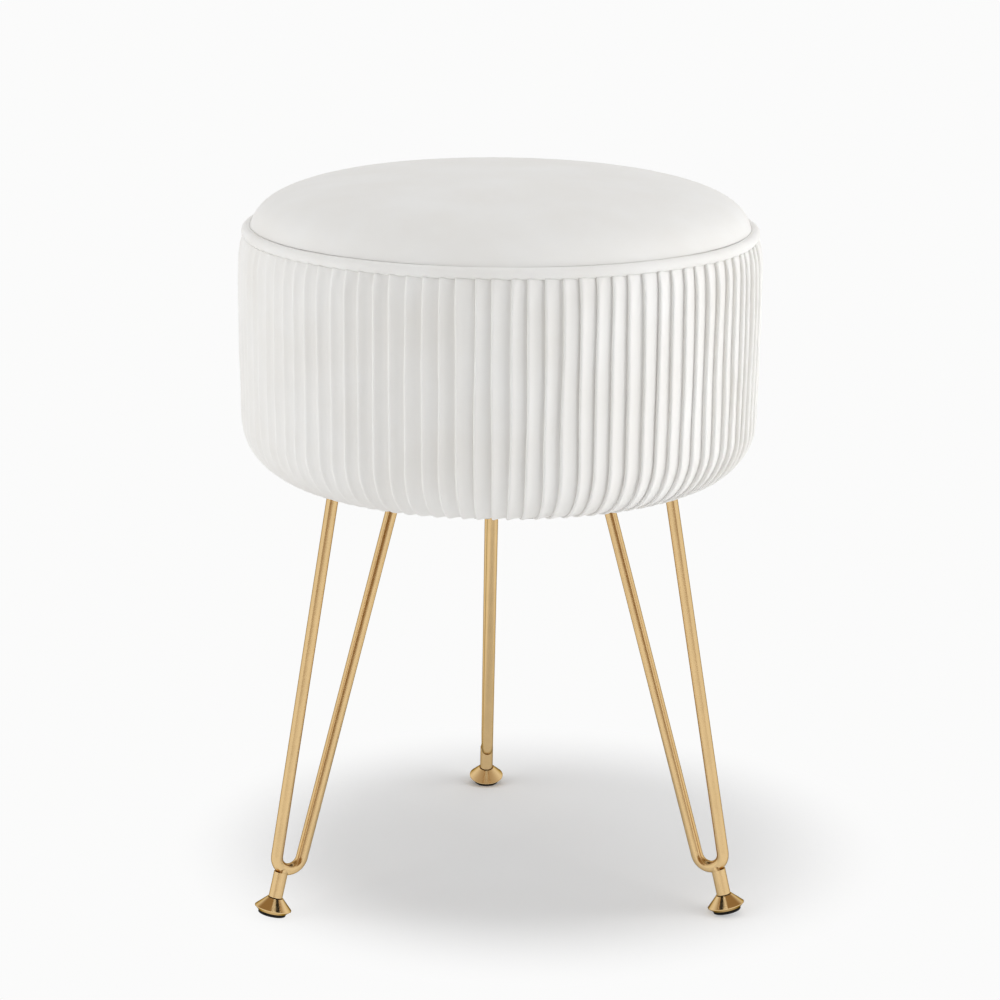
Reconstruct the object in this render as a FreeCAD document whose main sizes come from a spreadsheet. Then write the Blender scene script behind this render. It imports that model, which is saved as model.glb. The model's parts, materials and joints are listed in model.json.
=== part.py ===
import FreeCAD, Part
import math
import os

import Sketcher
from FreeCAD import Placement, Rotation, Vector

# A round upholstered vanity stool: a pleated drum seat on three hairpin legs with levelling feet.
# Millimetres and degrees. The origin lies on the floor under the drum's axis, +Z is up, the first leg is at +Y.

# Driving sizes

SIZES = {
    # drum seat
    "drum_radius": 175.0,           # widest reach of the pleats
    "drum_base_height": 288.5,      # floor to the flat underside
    "side_height": 159.5,           # underside to the upper edge of the pleats
    "corner_radius": 40.0,          # rounding between side and underside
    "side_flare": 1.0,              # the widest ring stands this much outside the corner's top
    "widest_drop": 30.0,            # upper edge of the pleats down to the widest ring
    "top_draw": 3.2,                # how far the pleats pull in under the cord
    "turn_under": 10.0,             # flat strip of the side cover under the base board
    # pleats
    "pleat_count": 99,
    "pleat_depth": 2.4,
    "pleat_phase": 0.67,            # azimuth of the first crease
    "fold_share": 0.12,             # part of a pleat's width that its rounded fold takes
    "fold_middle": 0.3,             # the fold's steepest place, as a share of the fold
    "fold_middle_sink": 0.35,       # its depth, as a share of the pleat's depth
    "slope_middle_sink": 0.75,      # depth half-way down a pleat's slope, the same way
    "cover_thickness": 1.2,         # velvet with its backing
    "soft_gap": 0.2,                # clearance round foam and cloth
    # cord and crown
    "cord_radius": 4.1,
    "cord_inset": 6.6,              # widest pleats in to the cord's centre line
    "crown_knee_lift": 1.2,         # cord centre up to where the crown starts to swell over the cord
    "crown_rim_lift": 4.9,          # cord centre up to the crown's rim, its widest ring
    "crown_overhang": 2.2,          # the rim stands this far outside the seam
    "crown_rise": 34.0,             # rim up to the top of the cushion
    "crown_edge_share": 0.33,       # how long the crown climbs at its rim, as a share of the rise
    "crown_edge_lean": 23.5,        # how far it leans inwards there, from upright
    "crown_flat_share": 0.97,       # how far it runs level from its middle, as a share of its radius
    # core
    "side_foam_thickness": 30.0,
    "wall_thickness": 3.0,
    "board_thickness": 15.0,
    "upright_width": 24.0,
    "upright_count": 6,
    "dust_cover_overlap": 7.0,      # dust cover over the turned-under edge
    "dust_cover_thickness": 0.8,
    # wood screws of the uprights
    "wood_screw_radius": 2.0,
    "wood_screw_head_radius": 4.0,
    "wood_screw_length": 35.0,
    "wood_screw_point": 4.0,
    # staples
    "staple_wire": 1.1,
    "staple_crown": 10.0,
    "staple_leg": 9.0,
    "staples_per_bay": 8,
    "staple_edge": 2.5,             # staples stand this far inside the dust cover's edge
    # legs
    "leg_count": 3,
    "first_leg_azimuth": 90.0,
    "rod_radius": 4.0,
    "outer_rod_lean": 10.3,
    "inner_rod_lean": 16.8,
    "bend_radius": 9.7,             # centre line of the hairpin's bend
    "bend_centre_height": 40.9,
    # leg plates and their screws
    "plate_inset": 70.9,            # widest pleats in to the plate's centre
    "plate_thickness": 2.0,
    "plate_width": 30.0,
    "plate_margin": 6.0,            # plate end beyond the nearer rod's centre
    "plate_corner": 14.0,
    "screw_spacing": 18.0,          # square pattern between the two rods
    "leg_screw_radius": 2.5,
    "leg_screw_head_radius": 4.6,
    "leg_screw_head_height": 3.0,
    "leg_screw_reach": 1.5,         # screw end above the tee nut's flange
    "screw_clearance": 0.25,        # plate and cloth holes round a screw
    "tee_barrel_radius": 3.6,
    "tee_barrel_length": 9.0,
    "tee_flange_radius": 8.5,
    "tee_flange_thickness": 1.2,
    # stems and levelling feet, measured along the stem's own axis from the pad's lower face
    "stem_lean": 14.5,
    "stem_offset": 3.9,             # stem axis outside the bend's centre
    "stem_radius": 4.7,
    "weld_depth": 2.0,              # how far the bend's rod is let into the stem's top
    "bore_end_wall": 0.8,           # metal between the stem's bore and the rod
    "bore_spare": 0.8,              # bore beyond the stud's end
    "stud_radius": 3.0,
    "stud_chamfer": 0.75,
    "thread_clearance": 0.05,
    "foot_gap": 0.5,                # stem to cone, where the stud shows
    "pad_radius": 9.4,
    "pad_thickness": 2.5,
    "pad_round": 0.8,
    "pad_recess": 0.3,              # pad let into the cone's lower face
    "floor_cut": 0.4,               # pad flattened by the floor
    "bevel_step": 0.6,              # cone's lower face beyond the pad
    "bevel_width": 2.45,
    "bevel_height": 2.1,
    "rim_land": 0.5,                # short upright edge of the rim
    "cone_height": 7.0,             # rim to the cone's top
    "cone_top_radius": 5.4,
    "cone_floor": 2.5,              # metal between the pad and the stud's lower end
}

# Sizes worked out from the driving ones, as formulas of the second sheet

WORKED = {
    # drum and crown
    "cover_depth": "=Sizes.pleat_depth + Sizes.cover_thickness",
    "side_top_height": "=Sizes.drum_base_height + Sizes.side_height",
    "widest_height": "=side_top_height - Sizes.widest_drop",
    "corner_height": "=Sizes.drum_base_height + Sizes.corner_radius",
    "corner_centre": "=Sizes.drum_radius - Sizes.side_flare - Sizes.corner_radius",
    "lower_rise": "=widest_height - corner_height",
    "lower_sweep": "=(lower_rise^2 + Sizes.side_flare^2) / (2 * Sizes.side_flare)",
    "upper_sweep": "=(Sizes.widest_drop^2 + Sizes.top_draw^2) / (2 * Sizes.top_draw)",
    "lip_radius": "=corner_centre - Sizes.turn_under",
    "cord_ring_radius": "=Sizes.drum_radius - Sizes.cord_inset",
    "cord_height": "=side_top_height + Sizes.cord_radius + Sizes.soft_gap",
    "seam_radius": "=cord_ring_radius - Sizes.cord_radius - Sizes.soft_gap",
    "crown_base_height": "=side_top_height + Sizes.soft_gap",
    "crown_knee_height": "=cord_height + Sizes.crown_knee_lift",
    "rim_of_crown_radius": "=seam_radius + Sizes.crown_overhang",
    "rim_of_crown_height": "=cord_height + Sizes.crown_rim_lift",
    "top_height": "=rim_of_crown_height + Sizes.crown_rise",
    # core
    "wall_radius": "=Sizes.drum_radius - cover_depth - Sizes.side_foam_thickness",
    "wall_base_height": "=corner_height + Sizes.soft_gap - sqrt((Sizes.corner_radius - cover_depth)^2"
                        " - max(0; wall_radius - corner_centre)^2)",
    "board_radius": "=wall_radius - Sizes.wall_thickness",
    "board_base_height": "=corner_height + Sizes.soft_gap - sqrt((Sizes.corner_radius - cover_depth)^2"
                         " - max(0; board_radius - corner_centre)^2)",
    "board_top_height": "=board_base_height + Sizes.board_thickness",
    "upright_ring": "=board_radius - Sizes.upright_width - Sizes.soft_gap",
    "upright_top_height": "=side_top_height - Sizes.board_thickness",
    "screw_head_height": "=Sizes.wood_screw_head_radius - Sizes.wood_screw_radius",
    "dust_cover_radius": "=lip_radius + Sizes.dust_cover_overlap",
    "dust_cover_height": "=Sizes.drum_base_height - Sizes.dust_cover_thickness",
    "staple_ring": "=dust_cover_radius - Sizes.staple_edge",
    # legs, with each rod's reach from its top out to the bend's centre
    "plate_centre": "=Sizes.drum_radius - Sizes.plate_inset",
    "plate_height": "=dust_cover_height - Sizes.plate_thickness",
    "outer_run": "=(plate_height - Sizes.bend_centre_height - Sizes.bend_radius * sin(Sizes.outer_rod_lean))"
                 " / cos(Sizes.outer_rod_lean)",
    "inner_run": "=(plate_height - Sizes.bend_centre_height + Sizes.bend_radius * sin(Sizes.inner_rod_lean))"
                 " / cos(Sizes.inner_rod_lean)",
    "outer_reach": "=outer_run * sin(Sizes.outer_rod_lean) - Sizes.bend_radius * cos(Sizes.outer_rod_lean)",
    "inner_reach": "=inner_run * sin(Sizes.inner_rod_lean) + Sizes.bend_radius * cos(Sizes.inner_rod_lean)",
    "bend_centre_radius": "=plate_centre + (outer_reach + inner_reach) / 2",
    "bend_sweep": "=180 - Sizes.inner_rod_lean + Sizes.outer_rod_lean",
    "plate_length": "=inner_reach - outer_reach + 2 * Sizes.plate_margin",
    "screw_length": "=board_top_height + Sizes.tee_flange_thickness + Sizes.leg_screw_reach - plate_height",
    # feet
    "cone_base": "=Sizes.pad_thickness - Sizes.pad_recess",
    "bevel_radius": "=Sizes.pad_radius + Sizes.bevel_step",
    "rim_radius": "=bevel_radius + Sizes.bevel_width",
    "rim_height": "=cone_base + Sizes.bevel_height",
    "cone_top": "=rim_height + Sizes.rim_land + Sizes.cone_height",
    "foot_height": "=(Sizes.pad_radius - Sizes.pad_round) * sin(Sizes.stem_lean)"
                   " + Sizes.pad_round * (1 - cos(Sizes.stem_lean)) - Sizes.floor_cut",
    "axis_radius": "=bend_centre_radius + Sizes.stem_offset * cos(Sizes.stem_lean)",
    "axis_height": "=Sizes.bend_centre_height + Sizes.stem_offset * sin(Sizes.stem_lean)",
    "bend_reach": "=(axis_height - foot_height) / cos(Sizes.stem_lean)",
    "foot_radius": "=axis_radius + bend_reach * sin(Sizes.stem_lean)",
    "stem_foot": "=cone_top + Sizes.foot_gap",
    "stem_top": "=bend_reach - Sizes.bend_radius - Sizes.rod_radius + Sizes.weld_depth",
    "stem_length": "=stem_top - stem_foot",
    "bore_radius": "=Sizes.stud_radius + Sizes.thread_clearance",
    "bore_length": "=stem_length - Sizes.weld_depth - Sizes.bore_end_wall",
    "cone_bore_floor": "=Sizes.pad_thickness + Sizes.cone_floor",
    "stud_root": "=cone_bore_floor + Sizes.soft_gap",
    "stud_end": "=stem_foot + bore_length - Sizes.bore_spare",
}

X_AXIS = Vector(1, 0, 0)
Y_AXIS = Vector(0, 1, 0)
Z_AXIS = Vector(0, 0, 1)
FULL_TURN = 360.0
QUARTER_TURN = 90.0
TOUCH = 1e-6

# Corners of a leg plate's square screw pattern, as (across, along) the leg
SCREW_CORNERS = ((-1, -1), (1, -1), (1, 1), (-1, 1))

# Places of the drum's cross-sections, in degrees round its lower corner and as shares of its drawn-in top
CORNER_ANGLES = (0, 15, 30, 45, 60, 75, 90)
TOP_SHARES = (0.35, 0.7, 0.9, 1.0)

doc = FreeCAD.newDocument("VanityStool")


def fill_sheet(name, cells):
    """Writes one row for each named size and gives its cell that name."""
    sheet = doc.addObject("Spreadsheet::Sheet", name)
    for row, (alias, content) in enumerate(cells.items(), start=1):
        sheet.set(f"A{row}", alias)
        sheet.set(f"B{row}", str(content))
        sheet.setAlias(f"B{row}", alias)
    return sheet


sizes = fill_sheet("Sizes", SIZES)
worked = fill_sheet("Worked", WORKED)
doc.recompute()
sub_parts = []


# Shared helpers


def keep(feature, label):
    """Names a sub-part and puts it on the list of parts that are written."""
    feature.Label = label
    sub_parts.append(feature)


def add(kind, name, placement=None, **links):
    """Adds a primitive whose properties follow the sheets."""
    feature = doc.addObject(kind, name)
    for prop, formula in links.items():
        feature.setExpression(prop, formula)
    if placement:
        feature.Placement = placement
    return feature


def cylinder(name, radius, height, placement=None):
    return add("Part::Cylinder", name, placement, Radius=radius, Height=height)


def box(name, length, width, height, placement):
    return add("Part::Box", name, placement, Length=length, Width=width, Height=height)


def cut(name, base, tool):
    feature = doc.addObject("Part::Cut", name)
    feature.Base = base
    feature.Tool = tool
    return feature


def fuse(name, shapes):
    feature = doc.addObject("Part::MultiFuse", name)
    feature.Shapes = shapes
    return feature


def gather(name, shapes):
    """Several separate solids as one feature."""
    group = doc.addObject("Part::Compound", name)
    group.Links = shapes
    return group


def repeated(name, master, placements):
    """Copies of one feature at several placements."""
    copies = []
    for index, placement in enumerate(placements, start=1):
        copy = doc.addObject("App::Link", f"{name}_copy_{index}")
        copy.LinkedObject = master
        copy.LinkTransform = True
        copy.Placement = placement
        copies.append(copy)
    return gather(name, copies)


def shaped(label, shape):
    """A sub-part whose outline follows a formula, so that its shape is made directly."""
    feature = doc.addObject("Part::Feature", label)
    feature.Shape = shape
    keep(feature, label)


def moved(x=0.0, y=0.0, z=0.0):
    return Placement(Vector(x, y, z), Rotation())


def turned(azimuth):
    """Rotation about the drum's axis."""
    return Placement(Vector(), Rotation(Z_AXIS, azimuth))


def spread(count, start=0.0):
    """Azimuths spaced evenly round the drum's axis."""
    return [start + FULL_TURN / count * index for index in range(int(count))]


def leg_azimuths():
    return spread(sizes.leg_count, sizes.first_leg_azimuth)


def origin_feature(body, role):
    return next(item for item in body.Origin.OriginFeatures if item.Role == role)


def new_sketch(body, name, role="XY_Plane"):
    sketch = body.newObject("Sketcher::SketchObject", name)
    sketch.AttachmentSupport = [(origin_feature(body, role), "")]
    sketch.MapMode = "FlatFace"
    return sketch


def drive(sketch, constraint, name, formula):
    """Adds a sketch dimension that follows the sheets."""
    index = sketch.addConstraint(constraint)
    sketch.renameConstraint(index, name)
    sketch.setExpression(f"Constraints.{name}", formula)


def sketch_circle(sketch, name, radius, x=None, y=None):
    """A circle whose radius and centre follow formulas, on an axis where no formula is given."""
    guess = Vector(10 if x else 0, 10 if y else 0, 0)
    index = sketch.addGeometry(Part.Circle(guess, Z_AXIS, 1.0))
    drive(sketch, Sketcher.Constraint("Radius", index, 1.0), f"{name}_radius", radius)
    if not x and not y:
        sketch.addConstraint(Sketcher.Constraint("Coincident", index, 3, -1, 1))
        return
    if x:
        drive(sketch, Sketcher.Constraint("DistanceX", -1, 1, index, 3, 10.0), f"{name}_x", x)
    else:
        sketch.addConstraint(Sketcher.Constraint("PointOnObject", index, 3, -2))
    if y:
        drive(sketch, Sketcher.Constraint("DistanceY", -1, 1, index, 3, 10.0), f"{name}_y", y)
    else:
        sketch.addConstraint(Sketcher.Constraint("PointOnObject", index, 3, -1))


def around(body, name, feature, count):
    """Repeats a feature evenly about the body's Z axis."""
    pattern = body.newObject("PartDesign::PolarPattern", name)
    pattern.Originals = [feature]
    pattern.Axis = (origin_feature(body, "Z_Axis"), [""])
    pattern.Angle = FULL_TURN
    pattern.setExpression("Occurrences", count)
    body.Tip = pattern


def pin_to_formula(sketch, index, direction, axis, name, formula):
    """Puts a line's start at a formula's distance from the sketch origin, or on the axis where it is zero."""
    if formula == "0":
        sketch.addConstraint(Sketcher.Constraint("PointOnObject", index, 1, axis))
    else:
        drive(sketch, Sketcher.Constraint(f"Distance{direction}", -1, 1, index, 1, 10.0), name, formula)


def revolved_body(label, profile, place):
    """A turned piece: profile is its outline as (radius, height) formulas, with its axis on Z."""
    body = doc.addObject("PartDesign::Body", label)
    sketch = new_sketch(body, f"{label}_profile", "XZ_Plane")
    count = len(profile)
    angles = [2 * math.pi * corner / count for corner in range(count)]
    guesses = [Vector(10 + 8 * math.cos(angle), 10 + 8 * math.sin(angle), 0) for angle in angles]
    for index in range(count):
        sketch.addGeometry(Part.LineSegment(guesses[index], guesses[(index + 1) % count]))
    for index in range(count):
        sketch.addConstraint(Sketcher.Constraint("Coincident", index, 2, (index + 1) % count, 1))
    for index, (radius, height) in enumerate(profile):
        pin_to_formula(sketch, index, "X", -2, f"radius{index}", radius)
        pin_to_formula(sketch, index, "Y", -1, f"height{index}", height)
    doc.recompute()
    turn = body.newObject("PartDesign::Revolution", f"{label}_turned")
    turn.Profile = sketch
    turn.ReferenceAxis = (sketch, ["V_Axis"])
    turn.Angle = FULL_TURN
    body.Placement = place
    return body


def in_profile(radius, height):
    """A point of the XZ half-plane in which the round pieces' outlines are drawn."""
    return Vector(radius, 0, height)


def start_point(edge):
    return edge.valueAt(edge.FirstParameter)


def end_point(edge):
    return edge.valueAt(edge.LastParameter)


def lathe(edges, corners):
    """The solid that an outline sweeps about Z, when its run of edges is closed through further corners."""
    points = [end_point(edges[-1])] + [in_profile(*corner) for corner in corners] + [start_point(edges[0])]
    closing = [Part.makeLine(a, b) for a, b in zip(points, points[1:])]
    return Part.Face(Part.Wire(edges + closing)).revolve(Vector(), Z_AXIS, FULL_TURN)


# The drum's outline


def outline_radius(height, inset=0.0):
    """Radius of the drum's side at a height above the corner, moved inwards by the inset."""
    if height < worked.widest_height:
        sweep = worked.lower_sweep
    else:
        sweep = worked.upper_sweep
    climb = height - worked.widest_height
    return sizes.drum_radius - sweep + math.sqrt((sweep - inset) ** 2 - climb ** 2)


def corner_point(angle, inset=0.0):
    """(radius, height) on the lower corner: 0 degrees is the underside, 90 the side."""
    reach = sizes.corner_radius - inset
    radius = worked.corner_centre + reach * math.sin(math.radians(angle))
    height = worked.corner_height - reach * math.cos(math.radians(angle))
    return radius, height


def corner_angle(radius, inset):
    """Where on the corner the inset outline has this radius; 0 anywhere on the flat underside."""
    across = max(0.0, radius - worked.corner_centre)
    return math.degrees(math.asin(across / (sizes.corner_radius - inset)))


def side_arc(low, high, inset):
    """Arc of the side between two heights."""
    heights = (low, (low + high) / 2, high)
    return Part.Arc(*[in_profile(outline_radius(height, inset), height) for height in heights]).toShape()


def drum_edges(inset, start_radius):
    """Underside, corner and side of the drum, from a radius at the underside up to the upper edge."""
    first = corner_angle(start_radius, inset)
    angles = (first, (first + QUARTER_TURN) / 2, QUARTER_TURN)
    corner = [in_profile(*corner_point(angle, inset)) for angle in angles]
    edges = [Part.Arc(*corner).toShape()]
    if start_radius < worked.corner_centre:
        edges.insert(0, Part.makeLine(in_profile(start_radius, corner[0].z), corner[0]))
    side_start = in_profile(outline_radius(worked.corner_height, inset), worked.corner_height)
    if corner[-1].distanceToPoint(side_start) > TOUCH:
        edges.append(Part.makeLine(corner[-1], side_start))
    edges.append(side_arc(worked.corner_height, worked.widest_height, inset))
    edges.append(side_arc(worked.widest_height, worked.side_top_height, inset))
    return edges


# Covers, cord and foam


def pleat_ring(radius, height):
    """One level of the pleated outline: each pleat is a rounded fold and a slope down to the next crease."""
    pitch = math.radians(FULL_TURN / sizes.pleat_count)
    phase = math.radians(sizes.pleat_phase)
    fold = sizes.fold_share
    stations = [
        (0.0, 1.0),
        (fold * sizes.fold_middle, sizes.fold_middle_sink),
        (fold, 0.0),
        ((1 + fold) / 2, sizes.slope_middle_sink),
        (1.0, 1.0),
    ]
    edges = []
    for pleat in range(int(sizes.pleat_count)):
        points = []
        for share, sink in stations:
            angle = phase + pitch * (pleat + share)
            reach = radius - sink * sizes.pleat_depth
            points.append(Vector(reach * math.cos(angle), reach * math.sin(angle), height))
        edges.append(Part.Arc(points[0], points[1], points[2]).toShape())
        edges.append(Part.Arc(points[2], points[3], points[4]).toShape())
    return Part.Wire(edges)


def pleat_levels():
    """(radius, height) of each level of pleats, from the underside to the edge under the cord."""
    heights = [(worked.corner_height + worked.widest_height) / 2, worked.widest_height]
    heights += [worked.widest_height + share * sizes.widest_drop for share in TOP_SHARES]
    corner = [corner_point(angle) for angle in CORNER_ANGLES]
    return corner + [(outline_radius(height), height) for height in heights]


def flat_ring(outline, radius, height):
    """Level face between a pleated outline and a round hole."""
    hole = Part.Wire(Part.makeCircle(radius, Vector(0, 0, height)))
    return Part.makeFace([outline, hole], "Part::FaceMakerBullseye")


def make_pleated_side_cover():
    """Side cover: pleated outside, smooth inside, level edges under the cord and round the mouth below."""
    rings = [pleat_ring(*level) for level in pleat_levels()]
    lining = drum_edges(worked.cover_depth, worked.lip_radius)
    lip = Part.makeLine(in_profile(worked.lip_radius, sizes.drum_base_height), start_point(lining[0]))
    inside = Part.Wire([lip] + lining).revolve(Vector(), Z_AXIS, FULL_TURN)
    top = worked.side_top_height
    upper_edge = flat_ring(rings[-1], outline_radius(top, worked.cover_depth), top)
    lower_edge = flat_ring(rings[0], worked.lip_radius, sizes.drum_base_height)
    outside = Part.makeLoft(rings, False, True)
    skin = Part.makeCompound(outside.Faces + inside.Faces + [upper_edge, lower_edge])
    skin.sewShape()
    shaped("pleated_side_cover", Part.makeSolid(skin))


def crown_outline(inset, low):
    """Seam, swell over the cord and domed top of the crown, moved inwards by the inset, from the height low."""
    seam = worked.seam_radius - inset
    rim = worked.rim_of_crown_radius - inset
    rim_height = worked.rim_of_crown_height
    top = worked.top_height - inset
    climb = sizes.crown_edge_share * (top - rim_height)
    dome = Part.BezierCurve()
    dome.setPoles([
        in_profile(rim, rim_height),
        in_profile(rim - climb * math.tan(math.radians(sizes.crown_edge_lean)), rim_height + climb),
        in_profile(sizes.crown_flat_share * rim, top),
        in_profile(0, top),
    ])
    return [
        Part.makeLine(in_profile(seam, low), in_profile(seam, worked.crown_knee_height)),
        Part.makeLine(in_profile(seam, worked.crown_knee_height), in_profile(rim, rim_height)),
        dome.toShape(),
    ]


def make_top_cover():
    """Cover of the crown: a cap that is open below, with its skirt inside the cord."""
    low = worked.crown_base_height
    below = worked.side_top_height
    outer = lathe(crown_outline(0, low), [(0, low)])
    inner = lathe(crown_outline(sizes.cover_thickness, below), [(0, below)])
    shaped("top_cover", outer.cut(inner))


def make_top_foam():
    low = worked.crown_base_height
    inset = sizes.cover_thickness + sizes.soft_gap
    shaped("top_foam", lathe(crown_outline(inset, low), [(0, low)]))


def make_side_foam():
    inner = worked.wall_radius + sizes.soft_gap
    inset = worked.cover_depth + sizes.soft_gap
    shaped("side_foam", lathe(drum_edges(inset, inner), [(inner, worked.side_top_height)]))


def make_piping():
    place = moved(z=worked.cord_height)
    cord = add("Part::Torus", "piping", place, Radius1="Worked.cord_ring_radius", Radius2="Sizes.cord_radius")
    keep(cord, "piping")


# Core of the seat


def make_board(label, height, is_base):
    """A plywood disc with countersunk screw holes over the uprights, and tee-nut holes in the base."""
    body = doc.addObject("PartDesign::Body", label)
    outline = new_sketch(body, f"{label}_outline")
    sketch_circle(outline, "edge", "Worked.board_radius")
    disc = body.newObject("PartDesign::Pad", f"{label}_disc")
    disc.Profile = outline
    disc.setExpression("Length", "Sizes.board_thickness")
    spot = new_sketch(body, f"{label}_screw_spot")
    if not is_base:
        spot.setExpression("AttachmentOffset.Base.z", "Sizes.board_thickness")
    sketch_circle(spot, "pilot", "Sizes.wood_screw_radius", x="Worked.upright_ring")
    doc.recompute()
    hole = body.newObject("PartDesign::Hole", f"{label}_screw_hole")
    hole.Profile = spot
    hole.Reversed = is_base
    hole.DepthType = "ThroughAll"
    hole.HoleCutType = "Countersink"
    hole.HoleCutCustomValues = True
    hole.HoleCutCountersinkAngle = 90
    hole.setExpression("Diameter", "2 * Sizes.wood_screw_radius")
    hole.setExpression("HoleCutDiameter", "2 * Sizes.wood_screw_head_radius")
    around(body, f"{label}_screw_ring", hole, "Sizes.upright_count")
    if is_base:
        cut_tee_holes(body, label)
    body.Placement = moved(z=height)
    keep(body, label)


def cut_tee_holes(body, label):
    """Holes for the tee nuts: a square of four at the back leg, repeated for each leg."""
    spots = new_sketch(body, f"{label}_tee_spots")
    for corner, (across, along) in enumerate(SCREW_CORNERS, start=1):
        x = f"{across} * Sizes.screw_spacing / 2"
        y = f"Worked.plate_centre + {along} * Sizes.screw_spacing / 2"
        sketch_circle(spots, f"tee{corner}", "Sizes.tee_barrel_radius", x=x, y=y)
    spots.setExpression("AttachmentOffset.Rotation.Angle", "Sizes.first_leg_azimuth - 90")
    doc.recompute()
    holes = body.newObject("PartDesign::Pocket", f"{label}_tee_holes")
    holes.Profile = spots
    holes.Type = "ThroughAll"
    holes.Reversed = True
    around(body, f"{label}_tee_ring", holes, "Sizes.leg_count")


def make_core_wall():
    place = moved(z=worked.wall_base_height)
    height = "Worked.side_top_height - Worked.wall_base_height"
    outside = cylinder("core_wall_outside", "Worked.wall_radius", height, place)
    inside = cylinder("core_wall_inside", "Worked.board_radius", height, place)
    keep(cut("core_wall", outside, inside), "core_wall")


def wood_screw(name, place):
    """A countersunk screw with its flat head at the placement and its point along the placement's Z."""
    shank = "Sizes.wood_screw_length - Sizes.wood_screw_point"
    head = add("Part::Cone", f"{name}_head", place, Radius1="Sizes.wood_screw_head_radius",
               Radius2="Sizes.wood_screw_radius", Height="Worked.screw_head_height")
    body = cylinder(f"{name}_shank", "Sizes.wood_screw_radius", shank, place)
    tip_place = place.multiply(moved(z=sizes.wood_screw_length - sizes.wood_screw_point))
    tip = add("Part::Cone", f"{name}_tip", tip_place, Radius1="Sizes.wood_screw_radius",
              Height="Sizes.wood_screw_point")
    tip.Radius2 = 0
    return fuse(name, [head, body, tip])


def make_uprights():
    """Square wooden blocks that hold the boards apart, each with one screw from each board."""
    ring = worked.upright_ring
    below = moved(ring, z=worked.board_base_height)
    above = Placement(Vector(ring, 0, worked.side_top_height), Rotation(X_AXIS, 180))
    low_screw = wood_screw("low_screw", below)
    high_screw = wood_screw("high_screw", above)
    half = sizes.upright_width / 2
    corner = moved(ring - half, -half, worked.board_top_height)
    height = "Worked.upright_top_height - Worked.board_top_height"
    block = box("upright_block", "Sizes.upright_width", "Sizes.upright_width", height, corner)
    bored = cut("upright_bored", block, fuse("upright_screw_pair", [low_screw, high_screw]))
    places = [turned(azimuth) for azimuth in spread(sizes.upright_count)]
    keep(repeated("frame_uprights", bored, places), "frame_uprights")
    keep(repeated("upright_screws_bottom", low_screw, places), "upright_screws_bottom")
    keep(repeated("upright_screws_top", high_screw, places), "upright_screws_top")


# What holds the covers and legs to the base board


def screw_place(azimuth, corner, height):
    """Placement of one leg screw at its corner of the square pattern."""
    across, along = corner
    half = sizes.screw_spacing / 2
    return turned(azimuth).multiply(moved(worked.plate_centre + along * half, across * half, height))


def screw_places(azimuth, height):
    return [screw_place(azimuth, corner, height) for corner in SCREW_CORNERS]


def screw_holes(name, azimuths):
    """Clearance holes for the leg screws through plate and dust cover."""
    hole = cylinder(f"{name}_one", "Sizes.leg_screw_radius + Sizes.screw_clearance",
                    "Sizes.plate_thickness + Sizes.dust_cover_thickness")
    places = [place for azimuth in azimuths for place in screw_places(azimuth, worked.plate_height)]
    return repeated(name, hole, places)


def make_dust_cover():
    """Thin disc under the drum, with holes for the leg screws."""
    place = moved(z=worked.dust_cover_height)
    disc = cylinder("dust_cover_disc", "Worked.dust_cover_radius", "Sizes.dust_cover_thickness", place)
    keep(cut("dust_cover", disc, screw_holes("dust_cover_holes", leg_azimuths())), "dust_cover")


def make_staples():
    """Staples through dust cover and side cover into the base board, in the bays between the leg plates."""
    wire = sizes.staple_wire
    half = sizes.staple_crown / 2
    crown = box("staple_bridge", "Sizes.staple_wire", "Sizes.staple_crown", "Sizes.staple_wire",
                moved(-wire / 2, -half, -wire))
    legs = [box(f"staple_leg_{index}", "Sizes.staple_wire", "Sizes.staple_wire", "Sizes.staple_leg",
                moved(-wire / 2, side)) for index, side in enumerate((-half, half - wire), start=1)]
    one = fuse("staple_one", [crown] + legs)
    ring = worked.staple_ring
    clear_angle = math.degrees(math.asin((sizes.plate_width / 2 + sizes.staple_crown) / ring))
    step = (FULL_TURN / sizes.leg_count - 2 * clear_angle) / (sizes.staples_per_bay - 1)
    places = [turned(azimuth + clear_angle + step * index).multiply(moved(ring, z=worked.dust_cover_height))
              for azimuth in leg_azimuths() for index in range(int(sizes.staples_per_bay))]
    keep(repeated("staples", one, places), "staples")


def make_tee_nuts():
    """Flanged nuts let into the base board from above, one over each leg screw."""
    barrel = cylinder("tee_nut_barrel", "Sizes.tee_barrel_radius", "Sizes.tee_barrel_length",
                      moved(z=-sizes.tee_barrel_length))
    flange = cylinder("tee_nut_flange", "Sizes.tee_flange_radius", "Sizes.tee_flange_thickness")
    thread = cylinder("tee_nut_thread", "Sizes.leg_screw_radius + Sizes.thread_clearance",
                      "Sizes.tee_barrel_length + Sizes.tee_flange_thickness", moved(z=-sizes.tee_barrel_length))
    nut = cut("tee_nut_one", fuse("tee_nut_blank", [barrel, flange]), thread)
    places = [place for azimuth in leg_azimuths() for place in screw_places(azimuth, worked.board_top_height)]
    keep(repeated("tee_nuts", nut, places), "tee_nuts")


# Legs, each in its own radial plane


def make_leg_plate(number, azimuth):
    """Steel plate with rounded corners and four screw holes."""
    label = f"leg_plate_{number}"
    corner = moved(worked.plate_centre - worked.plate_length / 2, -sizes.plate_width / 2, worked.plate_height)
    blank = box(f"{label}_blank", "Worked.plate_length", "Sizes.plate_width", "Sizes.plate_thickness",
                turned(azimuth).multiply(corner))
    doc.recompute()
    rounded = doc.addObject("Part::Fillet", f"{label}_rounded")
    rounded.Base = blank
    rounded.Edges = [(index, sizes.plate_corner, sizes.plate_corner)
                     for index, edge in enumerate(blank.Shape.Edges, start=1) if is_upright(edge)]
    keep(cut(label, rounded, screw_holes(f"{label}_holes", [azimuth])), label)


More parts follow.
